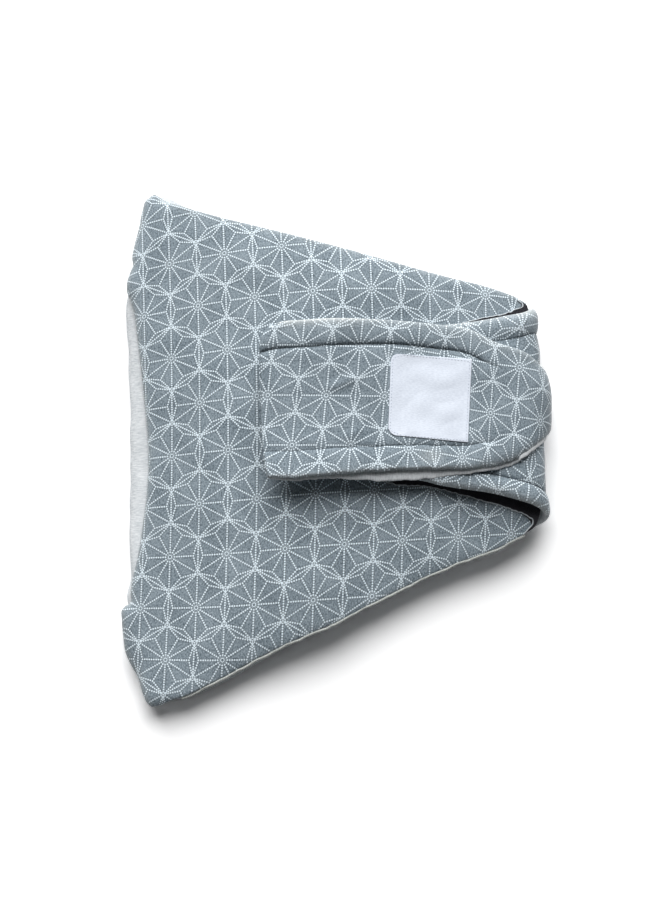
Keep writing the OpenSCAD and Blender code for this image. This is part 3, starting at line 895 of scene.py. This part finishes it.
def rim_profile(strap, thick, puffs, rolls, reliefs):
    """Outer height of a strap with stuffed rims, stitched grooves and a flatter middle."""
    relief = either_side(strap, reliefs)
    t = np.clip(np.minimum(strap.from_low / strap.low, strap.from_high / strap.high), 0, 1)
    off = np.abs(strap.inward)
    high = thick * round_edge(strap.far, either_side(strap, rolls))
    stuffing = 1 + 0.3 * ripple(strap.x, strap.y * 0.3, 34)
    high = high + either_side(strap, puffs) * stuffing * np.sin(math.pi * t)**0.7 * (strap.inward < 0)
    high = high - relief * MIDDLE_DROP * ease(strap.inward, -0.6, 1.2)
    high = high - relief * (GROOVE * np.exp(-off / 0.7) + GROOVE_WIDE * np.exp(-(off / 3.0)**2))
    pucker = ripple(strap.x, strap.y * 0.35, 11)
    high = high + 0.22 * relief * pucker * np.exp(-(off / 7.0)**2) * ease(strap.far, 0, 4)
    return high * np.where(strap.far < 1e-6, 0, 1)


def rim_crease(strap, reliefs):
    """How much painted shade darkens the stitched groove."""
    dark = either_side(strap, reliefs) * (0.36 + 0.18 * ripple(strap.x, strap.y, 9))
    return np.clip(dark * np.exp(-np.abs(strap.inward) / 0.5), 0, 1)


def seam_stitches(name, strap, way, span, path, level, top):
    """Stitches in the groove of one seam; top is the strap's height without the groove, and its depth."""
    line = strap.seam_line(way, np.linspace(*span, 300))
    high, relief = top(line)
    out = high - relief * (GROOVE + GROOVE_WIDE) + STITCH_RISE
    points = rolled(line, out, path, level(line))
    above = rolled(line, out + 1.0, path, level(line))
    return stitch_row(name, points, above - points, STITCH_PITCH, STITCH_LONG, SEAM_THREAD)


# Wing: its edges in the unrolled plan, with the stretches that are seen as places

WING_LEVEL = 33.5
WING_LOW_FREE = [(31, -20.5), (48, -19.6)]
WING_LOW_SEEN = [(440, 485.5), (501, 495.5), (530, 503.5)]
WING_LOW_TURN = [(130, -38), (136, -40), (146, -43.2), (154, -46.8), (164, -49.5), (178, -50)]
WING_HIGH_FREE = [(31, 73.0), (48, 74.5)]
WING_HIGH_SEEN = [(440, 325.3), (500, 317)]
WING_HIGH_TURN = [(113, 83.2), (122, 87.0), (130, 89.2), (150, 91.0), (164, 89.4), (178, 86)]
WING_FREE = [(31, -20.5), (22.5, -14), (19, 0), (18.5, 26), (19, 54), (22.5, 67), (31, 73.0)]
WING_ROOT = [(178, -50), (178, 20), (178, 86)]
WING_CURL = 1.6
WING_CURL_REACH = 26.0
WING_RIM = 14.6
WING_THICK = 2.0
WING_UNDER = 1.8
WING_UNDER_ROLL = 3.5
WING_PUFF = 1.2
WING_ROLLS = (4.0, 4.0)
WING_RELIEF = (1.0, 0.3)
# Strength of the painted shade in the wing's lower and upper seam grooves
WING_PAINTED_SHADE = (1.6, 0.15)
WING_HUMP = 1.4
WING_HUMP_Y = 61
WING_STAR = (128.4, 80.2)
WING_PRINT_TURN = math.radians(8)
WING_SEAM = (0.06, 0.97)


def wing_rims(x):
    return np.full_like(x, WING_RIM), WING_RIM + 3.0 * ease(x, 80, 110)


def wing_radius(angle):
    return ROOT_RADIUS + (WING_RADIUS - ROOT_RADIUS) * ease(angle, -90, -5)


def wing_level(flat):
    """Height of the wing's middle surface, with its lower edge standing up a little."""
    share = np.clip(1 - wing.above_low(flat) / WING_CURL_REACH, 0, 1)**1.5
    return TURN_Z + WING_RADIUS + WING_CURL * share * (1 - ease(flat[..., 0], 82, 108))


wing_low_seen = spot(WING_LOW_SEEN, [WING_LEVEL + WING_CURL, WING_LEVEL + WING_CURL / 2, WING_LEVEL])
wing = Strap(np.concatenate([WING_LOW_FREE, wing_low_seen, WING_LOW_TURN]),
             np.concatenate([WING_HIGH_FREE, spot(WING_HIGH_SEEN, WING_LEVEL), WING_HIGH_TURN]),
             WING_FREE, WING_ROOT, 190, wing_rims)
wing_path = turn_path(wing_radius, 40)
wing_puffs = (WING_PUFF, WING_PUFF + 0.4 * ease(wing.x, 92, 114))
wing_top = rim_profile(wing, WING_THICK, wing_puffs, WING_ROLLS, WING_RELIEF)
wing_top = wing_top + 0.25 * ripple(wing.x, wing.y, 34) * ease(wing.far, 0, 8)
wing_top = wing_top + WING_HUMP * np.exp(-((wing.y - WING_HUMP_Y) / 9)**2) * ease(wing.x, 110, 126)
x, y = wing.x - WING_STAR[0], wing.y - WING_STAR[1]
cosine, sine = math.cos(WING_PRINT_TURN), math.sin(WING_PRINT_TURN)
wing_uv = np.stack([x * cosine - y * sine, x * sine + y * cosine], axis=-1)
# Worn fuzz on the wing's edges, painted highlight on its upper rim, painted sheen round the turn
wing_wear_and_sheen = 0.5 * np.exp(-wing.far / 1.8) + 0.3 * np.exp(-wing.from_high / 7.0) * ease(wing.beyond, 0, 14)
wing_wear_and_sheen = np.maximum(wing_wear_and_sheen, 0.5 * ease(wing.beyond, 16, 26))
level = wing_level(wing.flat)
wing_piece = closed_piece(
    "wing_pad", rolled(wing.flat, wing_top, wing_path, level),
    rolled(wing.flat, -WING_UNDER * round_edge(wing.far, WING_UNDER_ROLL), wing_path, level),
    wing_uv, wing.flat, [PRINT, LINING_PAINTED_SHADE], rubbed=wing_wear_and_sheen, crease=rim_crease(wing, WING_PAINTED_SHADE))
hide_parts("wing_cover", "wing_wadding", "wing_lining", "wing_root")
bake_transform(wing_piece)

for name, way, relief in (("wing_stitch_upper", 1, WING_RELIEF[1]),
                          ("wing_stitch_lower", -1, WING_RELIEF[0])):
    row = seam_stitches(name + "_row", wing, way, WING_SEAM, wing_path, wing_level,
                        lambda line: (WING_THICK, relief))
    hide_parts(name)
    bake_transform(row)

# Tab: its edges as places up to the turn, and beyond it in the unrolled plan

TAB_LOW_SEEN = [(267.5, 478), (312, 476.5), (352, 473.5), (419, 469), (473, 468), (493, 465), (514, 459)]
TAB_LOW_TURN = [(119, 1.0), (128, 6.0), (140, 10.0), (158, 11)]
TAB_HIGH_SEEN = [(270, 325), (282, 321.5), (300, 320), (345, 319), (400, 321), (440, 325), (465, 328),
                 (495, 342)]
TAB_HIGH_TURN = [(113, 57.5), (127, 51.3), (140, 48), (158, 47)]
TAB_FREE_SEEN = [(267.5, 478), (264.5, 464), (262.5, 440), (260.5, 397), (259, 360), (261.5, 337), (270, 325)]
TAB_ROOT = [(158, 11), (158, 29), (158, 47)]
TAB_FREE_LEVEL = 42.3
TAB_LEVEL = 38.0
TAB_STEP_PLACE = 320
TAB_STAR_PLACE = (326.4, 395.8)
TAB_RUBBED_PLACE = (431, 457)
TAB_WRINKLES = [((328, 390), (356, 379), 1.1), ((344, 440), (360, 431), 0.9), ((300, 436), (318, 446), 0.5)]
WRINKLE_WIDE = 3.0
TAB_LIFT = 3.6
TAB_NECK_Y = 30.8
TAB_NECK_HALF = 21.5
TAB_BULGE = 3.4
TAB_CURL = 5.4
TAB_CURL_REACH = 50.0
# Painted shade that darkens the tab's middle
TAB_MIDDLE_PAINTED_SHADE = 0.1
TAB_THICK = 2.3
TAB_UNDER = 1.2
TAB_UNDER_ROLL = 3.0
TAB_SEAM = (0.004, 0.64)


def tab_level(flat):
    """Height of the tab's middle surface: its free end stands off, and its loose lower edge curls up."""
    x = flat[..., 0]
    share = np.clip(1 - tab.above_low(flat) / TAB_CURL_REACH, 0, 1)**1.7
    curl = TAB_CURL * share * (1 - 0.3 * ease(x, 0, 50)) * (1 - ease(x, 80, 104))
    return TURN_Z + TAB_RADIUS + TAB_LIFT * (1 - ease(x, -14, 24)) + curl


def seam_depth(x):
    """How deep the tab's seams are: they run out towards its neck."""
    return 1 - ease(x, 78, 104)


def tab_swell(flat):
    """How far the tab's loose neck stands off the wing at the turn."""
    t = np.clip((flat[..., 1] - TAB_NECK_Y) / TAB_NECK_HALF, -1, 1)
    beyond = flat[..., 0] - turn_middle(flat[..., 1])
    return (TAB_BULGE * (1 - t**2) - 2.0) * ease(beyond, 4, 26) * (1 - 0.85 * ease(beyond, 34, 52))


def tab_rims(x):
    return 14.2 + 1.5 * (1 - ease(x, -10, 80)), 15.2 + 3.2 * (1 - ease(x, -15, 45))


def tab_radius(angle):
    return TAB_RADIUS - 2.2 * (1 - ease(angle, -40, 10))


def wrinkle(flat, start, end, high):
    """Height of a short soft ridge between two plan points."""
    length = np.linalg.norm(end - start)
    ahead = (end - start) / length
    along = (flat - start) @ ahead
    across = (flat - start) @ np.array([-ahead[1], ahead[0]])
    ends = ease(along, -5, 5) * (1 - ease(along, length - 5, length + 5))
    return high * ends * np.exp(-(across / WRINKLE_WIDE)**2)


def edge_waver(along, high):
    """Small waves of a cut edge."""
    return high * (line_ripple(along, 8.0) + 0.6 * ripple(along, 0 * along + 40, 3.5))


def tab_spot(places, curl=0.0):
    """Plan points of the tab that are seen at these places."""
    return spot(places, [curl + (TAB_FREE_LEVEL if x < TAB_STEP_PLACE else TAB_LEVEL) for x, _ in places])


tab_low = smooth_line(np.concatenate([tab_spot(TAB_LOW_SEEN, TAB_CURL), TAB_LOW_TURN]))
tab_low[:, 1] += edge_waver(tab_low[:, 0], 0.22) * ease(tab_low[:, 0], -35, -25)
tab_free = tab_spot(TAB_FREE_SEEN)
tab_free[0] = tab_low[0]
tab_high = np.concatenate([tab_spot(TAB_HIGH_SEEN), TAB_HIGH_TURN])
tab = Strap(tab_low, tab_high, tab_free, TAB_ROOT, 240, tab_rims)
tab_path = turn_path(tab_radius, 0)
tab_relief = seam_depth(tab.x)
tab_full = 0.5 + 0.5 * ease(tab.x, -15, 15)
faint = 0.32 + 0.5 * ease(tab.x, -8, 18)
tab_rolls = (1.3 + 4.0 * ease(tab.x, 50, 85), 2.2)
tab_top = rim_profile(tab, TAB_THICK, (0.5, 0.85 * tab_full * tab_relief), tab_rolls,
                      (tab_relief * (0.3 + 0.7 * faint), tab_relief))
tab_top = tab_top + 0.3 * ripple(tab.x, tab.y, 36) * ease(tab.far, 0, 8)
for start, end, high in TAB_WRINKLES:
    tab_top = tab_top + wrinkle(tab.flat, *tab_spot([start, end]), high)
swell = tab_swell(tab.flat)
star = tab_spot([TAB_STAR_PLACE])[0]
x, y = tab.x - star[0], tab.y - star[1]
# The tab's print lies a little sheared, and is shifted along and up towards the turn
tab_uv = np.stack([x - 0.0976 * y + 12.0 * ease(tab.x, 40, 150),
                   y / 1.015 + 0.0223 * tab.x - 0.17 + 11.9 * ease(tab.x, 20, 125)
                   + 1.95 * (1 - ease(tab.x, -50, 52))], axis=-1)
spot_x, spot_y = tab_spot([TAB_RUBBED_PLACE], TAB_CURL / 2)[0]
# Worn fuzz on the tab's edges and a worn spot, with painted highlight along the upper edge and painted sheen
# round the neck
high_wear_and_sheen = np.exp(-tab.from_high / 2.8) * (0.4 + 0.6 * (1 - ease(tab.x, 0, 30))) * ease(tab.from_free, 2, 10)
low_wear = 0.4 * np.exp(-tab.from_low / 1.2)
neck_painted_sheen = 0.45 * ease(tab.beyond, 22, 33)
spot_wear = 0.25 * np.exp(-((tab.x - spot_x) / 7)**2 - ((tab.y - spot_y) / 4.5)**2)
in_low_rim = ease(tab.low - tab.from_low, -3, 3) * (1 - ease(tab.x, 50, 80))
# Painted shade over the tab's middle, half as strong over the lower rim, added to the painted shade in its
# seam grooves
tab_middle_painted_shade = TAB_MIDDLE_PAINTED_SHADE * ease(tab.from_high - tab.high, -3, 3) * (1 - 0.5 * in_low_rim)
tab_crease = rim_crease(tab, (faint * tab_relief, tab_full * tab_relief)) + tab_middle_painted_shade
level = tab_level(tab.flat)
tab_piece = closed_piece(
    "tab_pad", rolled(tab.flat, tab_top + swell, tab_path, level),
    rolled(tab.flat, swell - TAB_UNDER * round_edge(tab.far, TAB_UNDER_ROLL), tab_path, level),
    tab_uv, tab.flat, [PRINT, PRINT], rubbed=np.maximum.reduce([high_wear_and_sheen, low_wear, neck_painted_sheen, spot_wear]),
    crease=np.clip(tab_crease, 0, 1))
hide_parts("tab_cover", "tab_wadding")
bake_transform(tab_piece)

for name, way in (("tab_stitch_upper", 1), ("tab_stitch_lower", -1)):
    row = seam_stitches(name + "_row", tab, way, TAB_SEAM, tab_path, tab_level,
                        lambda line: (TAB_THICK + tab_swell(line), seam_depth(line[:, 0])))
    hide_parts(name)
    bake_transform(row)

# Lining of the tab: a soft layer of its own that pushes out below the lower edge

PUFF = 5.6
PUFF_START = 1.2
PUFF_DOWN = 3.6
PUFF_TOP = 1.1
PUFF_UNDER = 1.5
PUFF_ROLL = 3.2
puff_low = tab.edges[0].copy()
share = np.linspace(0, 1, len(puff_low))
puff_low[:, 1] -= PUFF_START * ease(share, 0.0, 0.06)
puff_low[:, 1] -= (PUFF - PUFF_START) * ease(share, 0.14, 0.36) * (1 - 0.75 * ease(share, 0.42, 0.6))
puff_low[:, 0] += 0.8 * (1 - ease(share, 0.0, 0.05))
puff_low[:, 1] += edge_waver(puff_low[:, 0] + 70, 0.15) * ease(share, 0.03, 0.1)
puff_high = tab.edges[1] - np.array([0, 2.0])
puff_free = smooth_line(np.concatenate([puff_low[:1], tab_free[1:-1] + [1.6, 0], puff_high[:1]]))
puff_root = smooth_line([puff_low[-1], (puff_low[-1] + puff_high[-1]) / 2, puff_high[-1]])
puff_rows = np.r_[np.linspace(0, 0.12, 24)[:-1], shares(40, 0.3) * 0.88 + 0.12]
u, v = np.meshgrid(shares(200, 0.2), puff_rows, indexing="ij")
puff_flat = patch(puff_low, puff_high, puff_free, puff_root, u, v)
puff_outline = np.concatenate([puff_low, puff_root[1:], puff_high[::-1][1:], puff_free[::-1][1:]])
puff_far, _ = nearest(puff_flat, puff_outline)
puff_round = round_edge(puff_far, PUFF_ROLL)
puff_wave = 0.3 * ripple(puff_flat[..., 0], puff_flat[..., 1], 24) * ease(puff_far, 0, 5)
puff_level = tab_level(puff_flat) - PUFF_DOWN + 1.4 * ease(puff_flat[..., 0], 60, 90)
puff_middle = tab_swell(puff_flat) - 0.3
lining_piece = closed_piece(
    "tab_lining_pad", rolled(puff_flat, PUFF_TOP * puff_round + puff_middle, tab_path, puff_level),
    rolled(puff_flat, puff_wave - PUFF_UNDER * puff_round + puff_middle, tab_path, puff_level),
    puff_flat, puff_flat, [LINING])
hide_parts("tab_lining")
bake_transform(lining_piece)


# Label with two rounded corners, from its lower left corner round

LABEL_CORNERS = [(388, 435), (468, 443), (472, 359), (391, 353)]
LABEL_LEVEL = 41.5
LABEL_ROUND = 5.0
LABEL_FLAT = (48, 50)
LABEL_THICK = 0.4
LABEL_ABOVE = 0.55
LABEL_LEAST = 0.45
SMOOTHING = 30
STITCH_INSET = 0.026
STITCH_CORNER = (0.12, 0.1)
STITCH_COUNTS = (90, 90, 90, 20, 80, 20)
LABEL_STITCH_PITCH = 1.9
LABEL_STITCH_LONG = 1.3
LABEL_STITCH_ABOVE = 0.5


def rounded_end(low, high, inward, radius):
    """One end of a flat piece, from its lower to its upper edge, with two round corners."""
    up = (high - low) / np.linalg.norm(high - low)
    aside = inward * radius * (1 - np.sin(QUARTER))[:, None]
    rise = up * radius * (1 - np.cos(QUARTER))[:, None]
    return even_steps(np.concatenate([low + aside + rise, (high + aside - rise)[::-1]]))


def flat_edges(left, right):
    """The four edges of a flat piece between two ends."""
    lower, upper = [even_steps(np.array([left[k], right[k]])) for k in (0, -1)]
    return lower, upper, left, right


def tab_height(plan):
    """Heights of the tab's outer face."""
    heights = np.empty(plan.shape[:-1])
    for index in np.ndindex(heights.shape):
        x, y = plan[index] * MM
        hit = tab_tree.ray_cast(Vector((x, y, 0.2)), Vector((0, 0, -1)))[0]
        heights[index] = hit.z / MM
    return heights


tab_tree = BVHTree.FromPolygons([vertex.co for vertex in tab_piece.data.vertices],
                                [tuple(face.vertices) for face in tab_piece.data.polygons])
low_left, low_right, high_right, high_left = spot(LABEL_CORNERS, LABEL_LEVEL)
label_inward = (low_right - low_left) / np.linalg.norm(low_right - low_left)
label_edges = flat_edges(rounded_end(low_left, high_left, label_inward, LABEL_ROUND),
                         even_steps(np.array([low_right, high_right])))
u, v = share_grid(70, 70, 0.2)
label_plan = patch(*label_edges, u, v)
ground = tab_height(label_plan)
label_z = ground
for _ in range(SMOOTHING):
    padded_z = np.pad(label_z, 1, mode="edge")
    mean = (padded_z[:-2, 1:-1] + padded_z[2:, 1:-1] + padded_z[1:-1, :-2] + padded_z[1:-1, 2:]) / 4
    label_z = np.maximum(ground, 0.3 * label_z + 0.7 * mean)
edge_far = np.minimum(np.minimum(u, 1 - u), np.minimum(v, 1 - v)) * sum(LABEL_FLAT) / 2
label_wave = 0.22 * ripple(label_plan[..., 0], label_plan[..., 1], 20) * ease(edge_far, 0, 6)
label_z = np.maximum(label_z + LABEL_ABOVE + label_wave, ground + LABEL_LEAST)
label_uv = np.stack([u, v], axis=-1) * LABEL_FLAT
label_piece = closed_piece("label_sheet", lift(label_plan, label_z), lift(label_plan, label_z - LABEL_THICK),
                           label_uv, label_uv, [LABEL])
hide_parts("label")
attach(label_piece, "tab")

near, far = STITCH_INSET, 1 - STITCH_INSET
corner_u, corner_v = STITCH_CORNER
round_label = [(corner_u, near), (far, near), (far, far), (corner_u, far), (near, 1 - corner_v),
               (near, corner_v), (corner_u, near)]
stretches = zip(round_label, round_label[1:], STITCH_COUNTS)
u, v = np.concatenate([np.linspace(start, end, count) for start, end, count in stretches]).T
border_plan = patch(*label_edges, u, v)
border_line = lift(border_plan, tab_height(border_plan) + LABEL_STITCH_ABOVE)
label_row = stitch_row("label_stitch_row", border_line, np.tile([0.0, 0.0, 1.0], (len(border_line), 1)),
                       LABEL_STITCH_PITCH, LABEL_STITCH_LONG, WHITE_THREAD)
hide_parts("label_stitching")
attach(label_row, "tab")

# Hook patches on the undersides of the straps

HOOK_ROUND = 6.0
HOOK_THICK = 1.4
WING_HOOK_DOWN = 1.6
TAB_HOOK_DOWN = 5.1


def hook_patch(name, node, body, underside):
    """A rounded piece of hook tape as large as its solid, on the underside of a strap."""
    (x0, y0, _), (x1, y1, _) = np.array(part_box(node)) / MM
    left, right = [rounded_end(np.array([x, y0]), np.array([x, y1]), np.array([way, 0]), HOOK_ROUND)
                   for x, way in ((x0, 1), (x1, -1))]
    plan = patch(*flat_edges(left, right), *share_grid(40, 60, 0.2))
    top = underside(plan)
    piece = closed_piece(name, lift(plan, top), lift(plan, top - HOOK_THICK), plan, plan, [HOOKS])
    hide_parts(node)
    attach(piece, body)


hook_patch("wing_hook_tape", "wing_hook_patch", "wing", lambda plan: wing_level(plan) - WING_HOOK_DOWN)
hook_patch("tab_hook_tape", "tab_hook_patch", "tab", lambda plan: tab_level(plan) - TAB_HOOK_DOWN)


# Stage, light and camera

FLOOR_REACH = 3.0
FLOOR_COLOUR = (0.82, 0.82, 0.825, 1)
FLOOR_SEEN = (1.3, 1.3, 1.305, 1)
AMBIENT = 0.08
KEY_FROM = Vector((-0.25, 2.8, 2.54))
KEY_POWER = 286.0
KEY_SIZE = (4.35, 4.9)
SENSOR = 36


def make_floor():
    """Large matte floor that looks whiter to the camera than to the light that it throws back."""
    mesh = bpy.data.meshes.new("floor")
    corners = [(x * FLOOR_REACH, y * FLOOR_REACH, 0) for x, y in ((-1, -1), (1, -1), (1, 1), (-1, 1))]
    mesh.from_pydata(corners, [], [(0, 1, 2, 3)])
    floor = Look("floor", 1.0, 0.0)
    floor.tree.nodes.remove(floor.shader)
    matte, white = [floor.node("BsdfDiffuse", {"Color": colour})[0] for colour in (FLOOR_COLOUR, FLOOR_SEEN)]
    path = floor.node("LightPath")
    seen = floor.math("MAXIMUM", path["Is Camera Ray"], path["Is Glossy Ray"])
    shown = floor.node("MixShader", {0: seen, 1: matte, 2: white})[0]
    floor.feed(floor.tree.nodes["Material Output"], {"Surface": shown})
    mesh.materials.append(floor.material)
    placed_object("floor", mesh)


def make_light():
    """Faint even light from all round, and one large soft lamp from behind and above."""
    world = bpy.data.worlds.new("studio")
    bpy.context.scene.world = world
    world.use_nodes = True
    background = world.node_tree.nodes["Background"]
    background.inputs["Color"].default_value = (1.0, 1.0, 1.0, 1)
    background.inputs["Strength"].default_value = AMBIENT
    lamp = bpy.data.lights.new("key", "AREA")
    lamp.shape = "ELLIPSE"
    lamp.size, lamp.size_y = KEY_SIZE
    lamp.energy = KEY_POWER
    key = placed_object("key", lamp)
    key.location = KEY_FROM
    key.rotation_euler = KEY_FROM.to_track_quat("Z", "Y").to_euler()


def make_camera():
    lens = bpy.data.cameras.new("camera")
    lens.sensor_width = SENSOR
    lens.lens = SENSOR / FIELD
    camera = placed_object("camera", lens)
    camera.location = Vector(EYE * MM)
    camera.rotation_euler = Vector(-FORWARD).to_track_quat("Z", "Y").to_euler()
    bpy.context.scene.camera = camera


make_floor()
make_light()
make_camera()
bpy.context.scene.view_settings.view_transform = "Standard"
